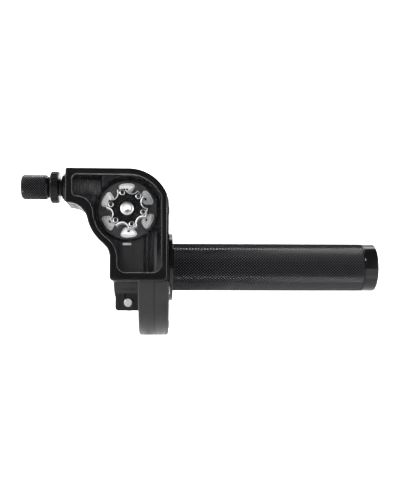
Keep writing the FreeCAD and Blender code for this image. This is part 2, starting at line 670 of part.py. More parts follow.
def throttle_tube():
    tube = turned_x([(TUBE_LEFT, TUBE_BORE), (TUBE_LEFT, TUBE_RADIUS), (DRUM_RIGHT, TUBE_RADIUS),
                     (DRUM_RIGHT, DRUM_FLANGE_RADIUS), (DRUM_FLANGE_RIGHT, DRUM_FLANGE_RADIUS),
                     (DRUM_FLANGE_RIGHT, TUBE_RADIUS), (FLANGE_LEFT, TUBE_RADIUS),
                     (FLANGE_LEFT, SLEEVE_BORE), (TUBE_END - 0.4, SLEEVE_BORE), (TUBE_END - 0.4, TUBE_BORE)])
    for angle in DRUM_SCREW_ANGLES:
        y, z = on_case(DRUM_SCREW_CIRCLE, angle)
        tube = tube.cut(rod_x(1.25, DRUM_RIGHT - 1, DRUM_FLANGE_RIGHT + 1, y, z))
    return tube


def tube_flange():
    flange = ring_x(FLANGE_RADIUS, SLEEVE_BORE, FLANGE_LEFT, FLANGE_RIGHT)
    flange = soften(flange, 0.3, lies_at_x(FLANGE_LEFT, FLANGE_RADIUS))
    return soften(flange, 0.3, lies_at_x(FLANGE_RIGHT, FLANGE_RADIUS))


def grip_sleeve():
    return ring_x(GRIP_RADIUS, SLEEVE_BORE, FLANGE_RIGHT, GRIP_END)


def end_ring():
    ring = ring_x(GRIP_RADIUS, SLEEVE_BORE, GRIP_END, TUBE_END)
    ring = soften(ring, 0.2, lies_at_x(GRIP_END, GRIP_RADIUS))
    free_edges = [edge for edge in ring.Edges if lies_at_x(TUBE_END, GRIP_RADIUS)(edge)]
    ring = ring.makeFillet(RING_ROUNDING, free_edges)
    for angle in RING_SCREW_ANGLES:
        ring = ring.cut(ring_screw(angle, 0.0))
    return ring


def ring_screw(angle, below):
    """Radial cylinder in the end ring, ending a little below its surface."""
    y, z = polar(1.0, angle)
    middle = (GRIP_END + TUBE_END) / 2
    direction = V(0, y, z)
    start = V(middle, 0, 0) + direction * (SLEEVE_BORE + 0.05)
    length = GRIP_RADIUS - SLEEVE_BORE - below if below else GRIP_RADIUS
    return Part.makeCylinder(1.2, length, start, direction)


def end_ring_screws():
    screws = []
    for angle in RING_SCREW_ANGLES:
        screws.append(ring_screw(angle, 0.15))
    return Part.makeCompound(screws)


# ---- cable adjuster -----------------------------------------------------------------
def cable_boss():
    bore = THREAD_RADIUS + RUNNING_FIT
    return turned_x([(BOSS_LEFT, bore), (BOSS_LEFT, 6.3), (BOSS_LEFT + 1.2, BOSS_RADIUS),
                     (-32.0, BOSS_RADIUS), (-32.0, 6.4), (-28.9, 6.4), (-28.9, bore)], CABLE_Y, ADJUSTER_Z)


def adjuster_barrel():
    """Knob and threaded stem; the thread's grooves are rings one pitch apart."""
    profile = [(KNOB_LEFT, SEAT_RADIUS + RUNNING_FIT), (KNOB_LEFT, KNOB_RADIUS - 1.0),
               (KNOB_LEFT + 1.0, KNOB_RADIUS), (KNOB_RIGHT, KNOB_RADIUS), (KNOB_NECK_X, KNOB_NECK_RADIUS),
               (KNOB_NECK_X, THREAD_RADIUS)]
    crest = THREAD_PITCH / 8
    depth = 0.6
    place = KNOB_NECK_X + crest
    while place < THREAD_END - 2 * THREAD_PITCH:
        profile += [(place, THREAD_RADIUS), (place + 3.5 * crest, THREAD_RADIUS - depth),
                    (place + 7 * crest, THREAD_RADIUS)]
        place += THREAD_PITCH
    profile += [(THREAD_END - 0.8, THREAD_RADIUS), (THREAD_END, THREAD_RADIUS - 0.8),
                (THREAD_END, CABLE_HOLE), (SEAT_RIGHT, CABLE_HOLE), (SEAT_RIGHT, SEAT_RADIUS + RUNNING_FIT)]
    return turned_x(profile, CABLE_Y, ADJUSTER_Z)


def cable_seat():
    left = KNOB_LEFT + 0.3
    right = SEAT_RIGHT - 0.1
    seat = turned_x([(left, SEAT_BORE), (left, SEAT_RADIUS), (right, SEAT_RADIUS), (right, 1.3),
                     (right - 1.2, 1.3), (right - 1.2, SEAT_BORE)], CABLE_Y, ADJUSTER_Z)
    return seat


def lock_nut():
    rim = NUT_RADIUS - NUT_CHAMFER
    return turned_x([(NUT_LEFT, THREAD_RADIUS + RUNNING_FIT), (NUT_LEFT, rim),
                     (NUT_LEFT + NUT_CHAMFER, NUT_RADIUS), (NUT_RIGHT - NUT_CHAMFER, NUT_RADIUS),
                     (NUT_RIGHT, rim), (NUT_RIGHT, THREAD_RADIUS + RUNNING_FIT)], CABLE_Y, ADJUSTER_Z)


def main():
    nodes = {
        "housing_body": housing_body(),
        "drum_cover": drum_cover(),
        "cover_screws": cover_screws(),
        "clamp_cap": clamp_cap(),
        "clamp_bolts": clamp_bolts(),
        "clamp_washers": clamp_washers(),
        "left_bush": tube_bush(CASE_LEFT, CAVITY_LEFT),
        "right_bush": tube_bush(CAVITY_RIGHT, CASE_RIGHT),
        "left_thrust_washer": thrust_washer(CAVITY_LEFT, DRUM_LEFT - 0.1),
        "right_thrust_washer": thrust_washer(DRUM_FLANGE_RIGHT + 0.1, CAVITY_RIGHT),
        "stop_pin": stop_pin(),
        "front_frame": front_frame(),
        "window": window(),
        "window_gasket": window_gasket(),
        "frame_pins": frame_pins(),
        "well_key": well_key(),
        "guide_wheel": guide_wheel(),
        "wheel_face_ring": wheel_face_ring(),
        "star_cap": star_cap(),
        "star_screws": star_screws(),
        "bearing_inner": bearing_inner(),
        "bearing_outer": bearing_outer(),
        "bearing_balls": bearing_balls(),
        "bearing_cage": bearing_cage(),
        "wheel_axle": wheel_axle(),
        "front_axle_sleeve": axle_sleeve(AXLE_HEAD_BACK, BEARING_FRONT),
        "rear_axle_sleeve": axle_sleeve(BEARING_BACK, FLOOR_Y),
        "cable_drum": cable_drum(),
        "drum_screws": drum_screws(),
        "throttle_tube": throttle_tube(),
        "tube_flange": tube_flange(),
        "grip_sleeve": grip_sleeve(),
        "end_ring": end_ring(),
        "end_ring_screws": end_ring_screws(),
        "cable_boss": cable_boss(),
        "adjuster_barrel": adjuster_barrel(),
        "cable_seat": cable_seat(),
        "lock_nut": lock_nut(),
    }
    os.makedirs("parts", exist_ok=True)
    for name, shape in nodes.items():
        shape.exportStep(f"parts/{name}.step")
        sound = shape.isValid() and all(solid.Volume > 0 for solid in shape.Solids)
        print(f"{name}: {len(shape.Solids)} solid(s), {shape.Volume:.1f} mm3, sound {sound}")


main()
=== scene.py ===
"""Looks of the quick-turn throttle grip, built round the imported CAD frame."""
import math

import bmesh
import bpy
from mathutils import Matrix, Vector
from mathutils.geometry import tessellate_polygon


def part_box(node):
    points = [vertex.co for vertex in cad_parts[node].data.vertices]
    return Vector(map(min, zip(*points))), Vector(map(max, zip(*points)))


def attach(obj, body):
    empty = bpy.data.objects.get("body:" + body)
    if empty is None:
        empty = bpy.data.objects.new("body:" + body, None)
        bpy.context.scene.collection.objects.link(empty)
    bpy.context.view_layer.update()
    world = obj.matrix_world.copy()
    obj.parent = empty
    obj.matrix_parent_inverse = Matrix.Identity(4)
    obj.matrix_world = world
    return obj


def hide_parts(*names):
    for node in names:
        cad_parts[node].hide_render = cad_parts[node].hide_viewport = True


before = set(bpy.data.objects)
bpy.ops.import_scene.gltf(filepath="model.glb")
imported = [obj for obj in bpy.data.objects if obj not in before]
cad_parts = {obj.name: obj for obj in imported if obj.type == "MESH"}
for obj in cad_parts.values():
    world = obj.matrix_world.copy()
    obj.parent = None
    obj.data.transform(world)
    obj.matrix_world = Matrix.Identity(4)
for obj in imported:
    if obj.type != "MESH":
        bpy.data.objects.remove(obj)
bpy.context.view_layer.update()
MM = 0.001

# ---- places taken from the frame ----------------------------------------------------
GRIP_LOW, GRIP_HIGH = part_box("grip_sleeve")
BEZEL_LOW, BEZEL_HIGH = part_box("front_frame")
PANE_LOW, PANE_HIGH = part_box("window")
STAR_LOW, STAR_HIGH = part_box("star_cap")
FACE_LOW, FACE_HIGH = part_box("wheel_face_ring")
BARREL_LOW, BARREL_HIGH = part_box("adjuster_barrel")
NUT_LOW, NUT_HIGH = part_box("lock_nut")

GRIP_RADIUS = GRIP_HIGH.z
SLEEVE_BORE = 12.3 * MM
BAR_AXIS = (0, 0)
WHEEL_X = (FACE_LOW.x + FACE_HIGH.x) / 2
WHEEL_Z = (FACE_LOW.z + FACE_HIGH.z) / 2
WHEEL_RIM = (FACE_HIGH.x - FACE_LOW.x) / 2
WHEEL_AXIS = (WHEEL_X, WHEEL_Z)
ADJUSTER_Y = (BARREL_LOW.y + BARREL_HIGH.y) / 2
ADJUSTER_Z = (BARREL_LOW.z + BARREL_HIGH.z) / 2
ADJUSTER_AXIS = (ADJUSTER_Y, ADJUSTER_Z)
KNOB_RADIUS = (BARREL_HIGH.z - BARREL_LOW.z) / 2
NUT_RADIUS = (NUT_HIGH.z - NUT_LOW.z) / 2

# ---- sizes of what the frame leaves plain -------------------------------------------
KNURL_DEPTH = 0.55 * MM
# Size of a diamond's flat top, as a share of the whole diamond.
KNURL_TOP = 0.16
GRIP_DIAMONDS = 52
GRIP_KNURL_PITCH = 1.76 * MM
GRIP_CHAMFER = 0.5 * MM
KNOB_DIAMONDS = 30
KNOB_KNURL_PITCH = 1.42 * MM
KNOB_LENGTH = 13.9 * MM
KNOB_BORE = 4.25 * MM
KNOB_CHAMFER = 1.0 * MM
KNOB_CHAMFER_SLOPE = 0.9
NECK_LENGTH = 1.8 * MM
NECK_WIDE = 6.6 * MM
NECK_SLIM = 5.3 * MM
CABLE_HOLE = 1.5 * MM
THREAD_RADIUS = 5.0 * MM
THREAD_PITCH = 1.25 * MM
THREAD_DEPTH = 0.6 * MM
# Distance from the knob's outer end to the thread, which starts inside the neck.
THREAD_START = 15.6 * MM
# The thread's root is narrow, its flanks take most of a pitch, and it sinks in at the end.
THREAD_ROOT = 0.06
THREAD_FLANK = 0.36
THREAD_FADE = 1.2 * MM
THREAD_SINK = 0.7 * MM
NUT_TEETH = 60
NUT_TOOTH = 0.3 * MM
NUT_CHAMFER = 0.7 * MM

LOBES = 6
LOBE_STEP = 60
STAR_ANGLE = 47.0
STAR_TIP = 11.25 * MM
STAR_HALF_ANGLE = 12.75
STAR_DIP = 8.3 * MM
# Share of the shrinking that narrows a lobe's sides.
STAR_NARROWING = 0.9
STAR_BORE = 4.8 * MM
STAR_CHAMFER = 0.5 * MM
SCREW_CIRCLE = 9.05 * MM
SCREW_RECESS = 1.75 * MM
SCREW_RECESS_DEPTH = 1.3 * MM
PETAL_ANGLE = 33.0
PETAL_OUTER = 15.2 * MM
PETAL_INNER = 9.4 * MM
PETAL_WIDE = 5.7 * MM
PETAL_SLIM = 2.15 * MM
PETAL_ROUNDING = 3.4 * MM
PAD_HOLE_CIRCLE = 11.3 * MM
PAD_HOLE = 1.0 * MM
# Segments of every screw head, a multiple of six so that hexagons bridge to rounds.
HEAD_SEGMENTS = 24

# Outline of the front frame and of the window in it, in the XZ plane.
ARC_CENTRE = (2.1 * MM, 28.6 * MM)
FRAME_OUTLINE = dict(left=BEZEL_LOW.x, top=BEZEL_HIGH.z, right=BEZEL_HIGH.x, bottom=BEZEL_LOW.z,
                     neck=-7.8 * MM, under=32.4 * MM, arc=22.6 * MM, under_start=-30.8 * MM,
                     neck_fillet=10.3 * MM, arm_corner=1.2 * MM, foot_corner=2.4 * MM)
WINDOW_OUTLINE = dict(left=-28.8 * MM, top=48.2 * MM, right=20.2 * MM, bottom=-5.7 * MM,
                      neck=-4.2 * MM, under=35.6 * MM, arc=19.6 * MM, under_start=-26.0 * MM,
                      neck_fillet=13.7 * MM, arm_corner=2.7 * MM, foot_corner=4.9 * MM)

# Sockets of the colour mix node, which share their names with its other types.
MIX_DARK = 6
MIX_LIGHT = 7
MIX_RESULT = 2
# Noise stretches: the same all ways, and fine bands across the X axis, as turning leaves.
EVEN = (1, 1, 1)
TURNED = (1, 0.03, 0.03)


# ---- shader helpers -----------------------------------------------------------------
def new_material(name, color, roughness, metallic=0.0, **sockets):
    """A Principled material; values that are the same all over go on its own sockets."""
    material = bpy.data.materials.new(name)
    material.use_nodes = True
    shader = material.node_tree.nodes["Principled BSDF"]
    shader.inputs["Base Color"].default_value = (*color, 1.0)
    shader.inputs["Roughness"].default_value = roughness
    shader.inputs["Metallic"].default_value = metallic
    for socket, value in sockets.items():
        shader.inputs[socket.replace("_", " ")].default_value = value
    return material, shader


def add_node(material, kind, **settings):
    node = material.node_tree.nodes.new(kind)
    for key, value in settings.items():
        setattr(node, key, value)
    return node


def link(material, source, target):
    material.node_tree.links.new(source, target)


def noise(material, scale, detail, stretch=EVEN):
    """Noise over object coordinates; stretch squeezes it along some axes."""
    place = add_node(material, "ShaderNodeTexCoord")
    mapping = add_node(material, "ShaderNodeMapping")
    mapping.inputs["Scale"].default_value = stretch
    texture = add_node(material, "ShaderNodeTexNoise")
    texture.inputs["Scale"].default_value = scale
    texture.inputs["Detail"].default_value = detail
    link(material, place.outputs["Object"], mapping.inputs["Vector"])
    link(material, mapping.outputs["Vector"], texture.inputs["Vector"])
    return texture.outputs["Fac"]


def spread(material, source, low, high):
    """Maps the middle of a noise's range, where nearly all of it lies, onto low to high."""
    node = add_node(material, "ShaderNodeMapRange")
    node.inputs["From Min"].default_value = 0.3
    node.inputs["From Max"].default_value = 0.7
    node.inputs["To Min"].default_value = low
    node.inputs["To Max"].default_value = high
    link(material, source, node.inputs["Value"])
    return node.outputs["Result"]


def two_tones(material, source, dark, light):
    node = add_node(material, "ShaderNodeMix", data_type="RGBA")
    node.inputs[MIX_DARK].default_value = (*dark, 1.0)
    node.inputs[MIX_LIGHT].default_value = (*light, 1.0)
    link(material, source, node.inputs["Factor"])
    return node.outputs[MIX_RESULT]


def scaled(tone, factor):
    return tuple(channel * factor for channel in tone)


def bump(material, shader, source, strength, distance):
    node = add_node(material, "ShaderNodeBump")
    node.inputs["Strength"].default_value = strength
    node.inputs["Distance"].default_value = distance
    link(material, source, node.inputs["Height"])
    link(material, node.outputs["Normal"], shader.inputs["Normal"])


def tip_wear_and_highlight(material, source_color, tip_wear_highlight_color, centre, radius, depth):
    """Lightens what stands highest round an axis along X: wear on a knurl's tips, and a painted
    highlight on them as well.
    """
    place = add_node(material, "ShaderNodeTexCoord")
    offset = add_node(material, "ShaderNodeVectorMath", operation="SUBTRACT")
    offset.inputs[1].default_value = (0, *centre)
    across = add_node(material, "ShaderNodeVectorMath", operation="MULTIPLY")
    across.inputs[1].default_value = (0, 1, 1)
    length = add_node(material, "ShaderNodeVectorMath", operation="LENGTH")
    ramp = add_node(material, "ShaderNodeMapRange")
    ramp.inputs["From Min"].default_value = radius - depth * 0.5
    ramp.inputs["From Max"].default_value = radius
    node = add_node(material, "ShaderNodeMix", data_type="RGBA")
    node.inputs[MIX_LIGHT].default_value = (*tip_wear_highlight_color, 1.0)
    link(material, place.outputs["Object"], offset.inputs[0])
    link(material, offset.outputs["Vector"], across.inputs[0])
    link(material, across.outputs["Vector"], length.inputs[0])
    link(material, length.outputs["Value"], ramp.inputs["Value"])
    link(material, ramp.outputs["Result"], node.inputs["Factor"])
    link(material, source_color, node.inputs[MIX_DARK])
    return node.outputs[MIX_RESULT]


def anodised(name, tone, roughness, grain=1.0, tips=None, specular=0.4, turned_marks=False):
    """Black anodised aluminium with a fine grain and faint mottling.

    tips is the (centre, radius, depth) of a knurl whose tips are painted lighter, part wear and
    part painted highlight; turned_marks draws the grain out into fine bands across the bar's axis.
    """
    stretch = TURNED if turned_marks else EVEN
    mottling_scale = 420.0 if turned_marks else 160.0
    mottling_detail = 4.0 if turned_marks else 3.0
    swing = 0.12 if turned_marks else 0.05
    material, shader = new_material(name, tone, roughness, Specular_IOR_Level=specular)
    mottling = noise(material, mottling_scale, mottling_detail, stretch)
    fine = noise(material, 5200.0, 2.0, stretch)
    color = two_tones(material, mottling, scaled(tone, 0.85), scaled(tone, 1.2))
    if tips:
        # Knurl tips painted lighter: part wear, part painted highlight.
        color = tip_wear_and_highlight(material, color, scaled(tone, 13), *tips)
    link(material, color, shader.inputs["Base Color"])
    shine = spread(material, mottling, roughness - swing, roughness + swing)
    link(material, shine, shader.inputs["Roughness"])
    bump(material, shader, fine, 0.12 * grain, 0.04 * MM)
    return material


def machined(name, tone, roughness, stretch, scale=900.0):
    """Bare metal with fine cutting marks, closest together along the axis stretched most."""
    material, shader = new_material(name, tone, roughness, 1.0)
    marks = noise(material, scale, 5.0, stretch)
    cloud = noise(material, 220.0, 2.0)
    color = two_tones(material, cloud, scaled(tone, 0.82), tone)
    link(material, color, shader.inputs["Base Color"])
    shine = spread(material, marks, roughness - 0.07, roughness + 0.08)
    link(material, shine, shader.inputs["Roughness"])
    bump(material, shader, marks, 0.1, 0.03 * MM)
    return material


def acrylic():
    """Clear acrylic with a faint smoke tint and a few polishing hazes."""
    material, shader = new_material("smoked_acrylic", (0.05, 0.052, 0.055), 0.08)
    haze = noise(material, 45.0, 4.0)
    link(material, spread(material, haze, 0.05, 0.12), shader.inputs["Roughness"])
    link(material, spread(material, haze, 0.03, 0.06), shader.inputs["Alpha"])
    return material


def acrylic_edge_highlight():
    """The pane's cut and chamfered edge: duller and more opaque than its face, with a lighter tone
    that is a painted highlight line.
    """
    material, shader = new_material("acrylic_edge_highlight", (0.30, 0.305, 0.31), 0.35)
    marks = noise(material, 1500.0, 3.0)
    link(material, spread(material, marks, 0.65, 0.85), shader.inputs["Alpha"])
    bump(material, shader, marks, 0.2, 0.05 * MM)
    return material


def matt(name, tone, roughness, scale):
    """Rubber, nylon, or a hollow painted near black as shade: soft mottling and a fine skin."""
    material, shader = new_material(name, tone, roughness, Specular_IOR_Level=0.2)
    skin = noise(material, scale, 5.0)
    color = two_tones(material, skin, scaled(tone, 0.85), tone)
    link(material, color, shader.inputs["Base Color"])
    bump(material, shader, skin, 0.15, 0.05 * MM)
    return material


# Knurls whose tips are painted lighter, as wear and as a painted highlight.
GRIP_TIP_WEAR_AND_HIGHLIGHT = (BAR_AXIS, GRIP_RADIUS, KNURL_DEPTH)
KNOB_TIP_WEAR_AND_HIGHLIGHT = (ADJUSTER_AXIS, KNOB_RADIUS, KNURL_DEPTH)
JET = (0.005, 0.005, 0.0055)
MATERIALS = {
    "case_black": anodised("case_black", (0.0065, 0.0065, 0.007), 0.36, specular=0.28,
                           turned_marks=True),
    "frame_gloss": anodised("frame_gloss", (0.0042, 0.0042, 0.0047), 0.16, 0.25, specular=0.27),
    "grip_black": anodised("grip_black", JET, 0.18, 0.3, GRIP_TIP_WEAR_AND_HIGHLIGHT, 0.24),
    "ring_gloss": anodised("ring_gloss", (0.004, 0.004, 0.0045), 0.14, 0.25, specular=0.27),
    "adjuster_black": anodised("adjuster_black", JET, 0.2, 0.3, KNOB_TIP_WEAR_AND_HIGHLIGHT, 0.28),
    "adjuster_plain": anodised("adjuster_plain", JET, 0.22, 0.5, specular=0.25),
    "thread_black": anodised("thread_black", (0.06, 0.06, 0.062), 0.4, 0.8),
    "star_black": anodised("star_black", (0.0025, 0.0025, 0.0025), 0.16, 0.3, specular=0.12),
    "disc_black": anodised("disc_black", (0.026, 0.026, 0.027), 0.45),
    "well_black": anodised("well_black", (0.13, 0.13, 0.133), 0.5),
    "bare_cut": machined("bare_cut", (0.92, 0.92, 0.92), 0.6, EVEN),
    "wheel_silver": machined("wheel_silver", (0.90, 0.90, 0.91), 0.64, EVEN, 420.0),
    "tube_alloy": machined("tube_alloy", (0.62, 0.62, 0.64), 0.32, (8, 1, 1)),
    "steel": machined("steel", (0.55, 0.55, 0.56), 0.42, EVEN),
    "bright_steel": machined("bright_steel", (0.74, 0.74, 0.745), 0.38, EVEN),
    "dark_steel": machined("dark_steel", (0.10, 0.10, 0.105), 0.4, EVEN),
    "bronze": machined("bronze", (0.62, 0.44, 0.22), 0.35, (1, 6, 1)),
    # Near-black matt painted into screw sockets and pad holes as shade.
    "painted_shade_socket": matt("painted_shade_socket", (0.004, 0.004, 0.004), 0.4, 1500.0),
    "gasket": matt("gasket", (0.02, 0.02, 0.02), 0.7, 900.0),
    "nylon": matt("nylon", (0.72, 0.71, 0.66), 0.5, 700.0),
    "pane": acrylic(),
    "pane_edge_highlight": acrylic_edge_highlight(),
}


# ---- mesh helpers -------------------------------------------------------------------
def make_piece(name, mesh_data, materials, body, replaced, smooth=32.0):
    """Finishes a bmesh as a piece of the object, with edges sharper than smooth kept hard."""
    bmesh.ops.recalc_face_normals(mesh_data, faces=mesh_data.faces)
    mesh = bpy.data.meshes.new(name)
    mesh_data.to_mesh(mesh)
    mesh_data.free()
    piece = bpy.data.objects.new(name, mesh)
    bpy.context.collection.objects.link(piece)
    for material in materials:
        mesh.materials.append(MATERIALS[material])
    mesh.shade_smooth()
    mesh.set_sharp_from_angle(angle=math.radians(smooth))
    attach(piece, body)
    if replaced:
        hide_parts(*replaced)


def bridge(mesh_data, first, second, material=0):
    """Quads between two closed loops of as many vertices."""
    count = len(first)
    for index in range(count):
        following = (index + 1) % count
        corners = (first[index], first[following], second[following], second[index])
        face = mesh_data.faces.new(corners)
        face.material_index = material


def loop_of(mesh_data, points):
    return [mesh_data.verts.new(point) for point in points]


def loft(mesh_data, loops, materials=None, closed=False):
    """Bridges a list of loops one after another, and the last to the first if closed."""
    steps = len(loops) if closed else len(loops) - 1
    for index in range(steps):
        tone = materials[index] if materials else 0
        bridge(mesh_data, loops[index], loops[(index + 1) % len(loops)], tone)


def rounded(profile, radius, steps):
    """A closed profile with every corner rounded by radius, or by less on short edges."""
    share = 0.45
    result = []
    count = len(profile)
    for index in range(count):
        corner = Vector(profile[index])
        before = Vector(profile[index - 1]) - corner
        after = Vector(profile[(index + 1) % count]) - corner
        reach = min(radius, before.length * share, after.length * share)
        start = corner + before.normalized() * reach
        end = corner + after.normalized() * reach
        for step in range(steps + 1):
            t = step / steps
            result.append(tuple(start * (1 - t) ** 2 + corner * 2 * t * (1 - t) + end * t * t))
    return result


def round_x(along, radius, angle, axis):
    """The point at a radius and an angle round an axis along X, given as its (y, z)."""
    return along, axis[0] + radius * math.cos(angle), axis[1] + radius * math.sin(angle)


def round_y(depth, radius, angle, axis):
    """The point at a radius and an angle round an axis along Y, given as its (x, z)."""
    return axis[0] + radius * math.cos(angle), depth, axis[1] + radius * math.sin(angle)


def circle(mesh_data, placed, along, radius, axis, segments, turn=0.0):
    """A round loop; placed is round_x or round_y."""
    angles = [2 * math.pi * segment / segments + turn for segment in range(segments)]
    return loop_of(mesh_data, [placed(along, radius, angle, axis) for angle in angles])


def turned(profile, axis, segments):
    """A bmesh turned from a closed (along, radius) profile about an axis along X."""
    mesh_data = bmesh.new()
    loops = [circle(mesh_data, round_x, along, radius, axis, segments) for along, radius in profile]
    loft(mesh_data, loops, closed=True)
    return mesh_data


def arc_points(centre, radius, start, end, steps):
    points = []
    for step in range(steps + 1):
        angle = math.radians(start + (end - start) * step / steps)
        points.append((centre[0] + radius * math.cos(angle), centre[1] + radius * math.sin(angle)))
    return points


def outline_points(spec):
    """An outline as (x, z) points; every outline has the same number of them.

    It runs from the top round the big arc and the foot, up the neck and under the arm, and
    back along the top.
    """
    centre_x, centre_z = ARC_CENTRE
    arc = spec["arc"]
    neck_fillet = spec["neck_fillet"]
    arm = spec["arm_corner"]
    foot = spec["foot_corner"]
    right_angle = math.degrees(math.acos((spec["right"] - centre_x) / arc))
    neck_x = spec["neck"] - neck_fillet
    neck_z = centre_z - math.sqrt((arc + neck_fillet) ** 2 - (centre_x - neck_x) ** 2)
    neck_angle = math.degrees(math.atan2(centre_z - neck_z, centre_x - neck_x))
    rise = spec["under"] - centre_z
    reach = centre_x - spec["under_start"]
    under_fillet = (reach ** 2 - arc ** 2 + rise ** 2) / (2 * (arc + rise))
    under_z = spec["under"] - under_fillet
    under_angle = math.degrees(math.atan2(centre_z - under_z, reach))
    left = spec["left"] + arm
    points = arc_points(ARC_CENTRE, arc, 90, right_angle, steps=28)
    points += arc_points((spec["right"] - foot, spec["bottom"] + foot), foot, 0, -90, steps=10)
    points += arc_points((spec["neck"] + foot, spec["bottom"] + foot), foot, -90, -180, steps=10)
    points += arc_points((neck_x, neck_z), neck_fillet, 0, neck_angle, steps=16)
    points += arc_points(ARC_CENTRE, arc, neck_angle + 180, under_angle + 180, steps=20)
    points += arc_points((spec["under_start"], under_z), under_fillet, under_angle, 90, steps=16)
    points += arc_points((left, spec["under"] + arm), arm, 270, 180, steps=8)
    points += arc_points((left, spec["top"] - arm), arm, 180, 90, steps=8)
    return points


def inset(spec, distance):
    """The same outline moved inwards by distance, outwards if it is negative."""
    moved = dict(spec)
    for side in ("left", "bottom", "neck", "under", "neck_fillet"):
        moved[side] += distance
    for side in ("right", "top", "arc", "arm_corner", "foot_corner"):
        moved[side] -= distance
    return moved


def outline_loop(mesh_data, spec, distance, depth):
    points = outline_points(inset(spec, distance))
    return loop_of(mesh_data, [(x, depth, z) for x, z in points])


def ring_loop(mesh_data, centre, radius, depth, segments=48):
    return circle(mesh_data, round_y, depth, radius, centre, segments)


def shape_loop(mesh_data, outline, depth):
    return loop_of(mesh_data, [(x, depth, z) for x, z in outline])


def fill_between(mesh_data, loops, material=0):
    """Fills the flat area inside the first loop and outside the others."""
    vertices = [vertex for loop in loops for vertex in loop]
    flat_loops = [[Vector((vertex.co.x, vertex.co.z, 0)) for vertex in loop] for loop in loops]
    for corners in tessellate_polygon(flat_loops):
        face = mesh_data.faces.new([vertices[corner] for corner in corners])
        face.material_index = material


def on_wheel(radius, angle):
    """The (x, z) at a radius and an angle in degrees round the wheel's axis."""
    turn = math.radians(angle)
    return WHEEL_X + radius * math.cos(turn), WHEEL_Z + radius * math.sin(turn)


# ---- knurls and threads -------------------------------------------------------------
def knurl_profile(start, end, radius, around, pitch, bore, axis, edge):
    """Diamond-knurled sleeve along X, with flat-topped diamonds and a plain bore.

    edge(along) caps the radius, which is how the ends are chamfered.
    """
    mesh_data = bmesh.new()
    rows = max(4, 2 * round((end - start) / pitch))
    columns = 2 * around
    spacing = (end - start) / rows

    def point(column, row, size):
        along = start + spacing * row
        angle = 2 * math.pi * column / columns
        return round_x(along, min(size, edge(along)), angle, axis)

    valleys = {}
    for row in range(rows + 1):
        for column in range(row % 2, columns, 2):
            valleys[column, row] = mesh_data.verts.new(point(column, row, radius - KNURL_DEPTH))
    for row in range(1, rows):
        for column in range((row + 1) % 2, columns, 2):
            corners = []
            flat = []
            for across, up in ((1, 0), (0, 1), (-1, 0), (0, -1)):
                corners.append(valleys[(column + across) % columns, row + up])
                tip = point(column + across * KNURL_TOP, row + up * KNURL_TOP, radius)
                flat.append(mesh_data.verts.new(tip))
            mesh_data.faces.new(flat)
            bridge(mesh_data, corners, flat)
    rims = []
    for row, inner_row in ((0, 1), (rows, rows - 1)):
        rim = []
        for column in range(row % 2, columns, 2):
            following = valleys[(column + 2) % columns, row]
            inner = valleys[(column + 1) % columns, inner_row]
            rim.append(valleys[column, row])
            mesh_data.faces.new((valleys[column, row], following, inner))
        rims.append(rim)
    first = loop_of(mesh_data, [point_on_bore(start, vertex.co, bore, axis) for vertex in rims[0]])
    last = loop_of(mesh_data, [point_on_bore(end, vertex.co, bore, axis) for vertex in rims[1]])
    bridge(mesh_data, rims[0], first)
    bridge(mesh_data, first, last)
    bridge(mesh_data, last, rims[1])
    return mesh_data


def point_on_bore(along, outside, bore, axis):
    """The bore's point straight below a point on the outside."""
    angle = math.atan2(outside.z - axis[1], outside.y - axis[0])
    return round_x(along, bore, angle, axis)


def grip_sleeve():
    def edge(along):
        """Lets the first and last diamonds run down to the sleeve's ends."""
        nearest = min(along - GRIP_LOW.x, GRIP_HIGH.x - along)
        return GRIP_RADIUS - max(0.0, GRIP_CHAMFER - nearest)

    mesh_data = knurl_profile(GRIP_LOW.x, GRIP_HIGH.x, GRIP_RADIUS, GRIP_DIAMONDS,
                              GRIP_KNURL_PITCH, SLEEVE_BORE, BAR_AXIS, edge)
    make_piece("knurled_grip", mesh_data, ["grip_black"], "throttle",
               ["grip_sleeve"], 20)


def adjuster_knob():
    """The knurled knob, and the plain neck that closes its inner end."""
    left = BARREL_LOW.x
    right = left + KNOB_LENGTH

    def edge(along):
        return KNOB_RADIUS - max(0.0, KNOB_CHAMFER - (along - left)) * KNOB_CHAMFER_SLOPE

    mesh_data = knurl_profile(left, right, KNOB_RADIUS, KNOB_DIAMONDS, KNOB_KNURL_PITCH,
                              KNOB_BORE, ADJUSTER_AXIS, edge)
    make_piece("adjuster_knob", mesh_data, ["adjuster_black"], "adjuster",
               ["adjuster_barrel"], 20)
    neck_left = right - 0.05 * MM
    neck_right = right + NECK_LENGTH
    plug = right - 1.2 * MM
    profile = [(neck_left, KNOB_BORE), (neck_left, NECK_WIDE), (neck_right, NECK_SLIM),
               (neck_right, CABLE_HOLE), (plug, CABLE_HOLE), (plug, KNOB_BORE)]
    profile = rounded(profile, 0.2 * MM, steps=2)
    mesh_data = turned(profile, ADJUSTER_AXIS, segments=72)
    make_piece("adjuster_neck", mesh_data, ["adjuster_plain"], "adjuster",
               ["adjuster_barrel"])


